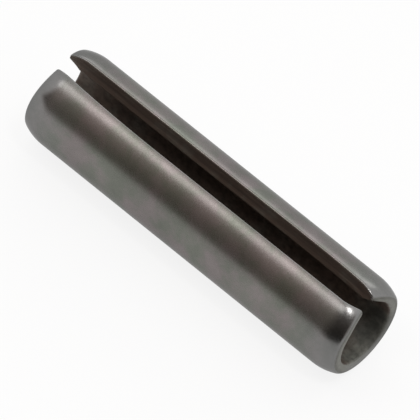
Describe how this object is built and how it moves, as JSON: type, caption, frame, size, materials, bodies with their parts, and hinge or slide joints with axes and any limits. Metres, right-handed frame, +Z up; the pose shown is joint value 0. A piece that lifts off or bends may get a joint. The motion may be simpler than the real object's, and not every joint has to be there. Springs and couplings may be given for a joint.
{
  "type": "spring roll pin",
  "caption": "Slotted spring roll pin: a split tube rolled from spring steel with pressed-in ends, driven into a drilled hole, where it springs out and holds parts together.",
  "frame": {"origin": "on the surface the pin lies on, below the middle of its length", "axes": "+X along the pin; +Z up, out through the slot; +Y across it"},
  "size_m": [0.0444, 0.0114, 0.0113],
  "materials": {
    "spring_steel": "hardened and tempered spring steel with its thin dark heat-treatment oxide, lightly oiled, satin"
  },
  "bodies": {
    "root": {"spring_pin": "spring_steel"}
  },
  "joints": []
}
